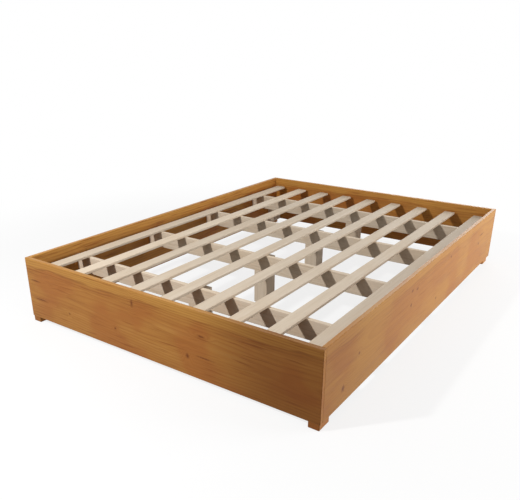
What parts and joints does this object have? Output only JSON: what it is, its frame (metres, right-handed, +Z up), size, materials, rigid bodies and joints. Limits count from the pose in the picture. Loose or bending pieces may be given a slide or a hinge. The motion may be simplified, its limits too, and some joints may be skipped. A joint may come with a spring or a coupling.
{
  "type": "slatted floor bed frame",
  "caption": "Low wooden floor bed frame: an open box of boards on short feet, with lengthwise slats on cross bearers and notched centre legs.",
  "frame": {"origin": "on the floor, under the middle of the frame", "axes": "+X to the right, +Y along the bed from the front board to the back board, +Z up; the front board faces -Y"},
  "size_m": [1.43, 1.963, 0.293],
  "materials": {
    "stained_wood": "satin honey-brown stain and varnish on horizontal grain",
    "bare_wood": "planed bare softwood, unvarnished",
    "dowel_wood": "plain beech dowel",
    "zinc_steel": "zinc-plated steel"
  },
  "bodies": {
    "root": {"front_board": "stained_wood", "back_board": "stained_wood", "left_side_board": "stained_wood", "right_side_board": "stained_wood", "foot_front_left": "stained_wood", "foot_front_right": "stained_wood", "foot_back_left": "stained_wood", "foot_back_right": "stained_wood", "corner_block_front_left": "bare_wood", "corner_block_front_right": "bare_wood", "corner_block_back_left": "bare_wood", "corner_block_back_right": "bare_wood", "slat_1": "bare_wood", "slat_2": "bare_wood", "slat_3": "bare_wood", "slat_4": "bare_wood", "slat_5": "bare_wood", "slat_6": "bare_wood", "slat_7": "bare_wood", "slat_8": "bare_wood", "slat_9": "bare_wood", "bearer_1": "bare_wood", "bearer_2": "bare_wood", "bearer_3": "bare_wood", "bearer_4": "bare_wood", "centre_leg_1": "bare_wood", "centre_leg_2": "bare_wood", "centre_leg_3": "bare_wood", "centre_leg_4": "bare_wood", "corner_dowels": "dowel_wood", "corner_screws": "zinc_steel", "foot_screws": "zinc_steel", "leg_screws": "zinc_steel", "slat_brads": "zinc_steel"}
  },
  "joints": []
}
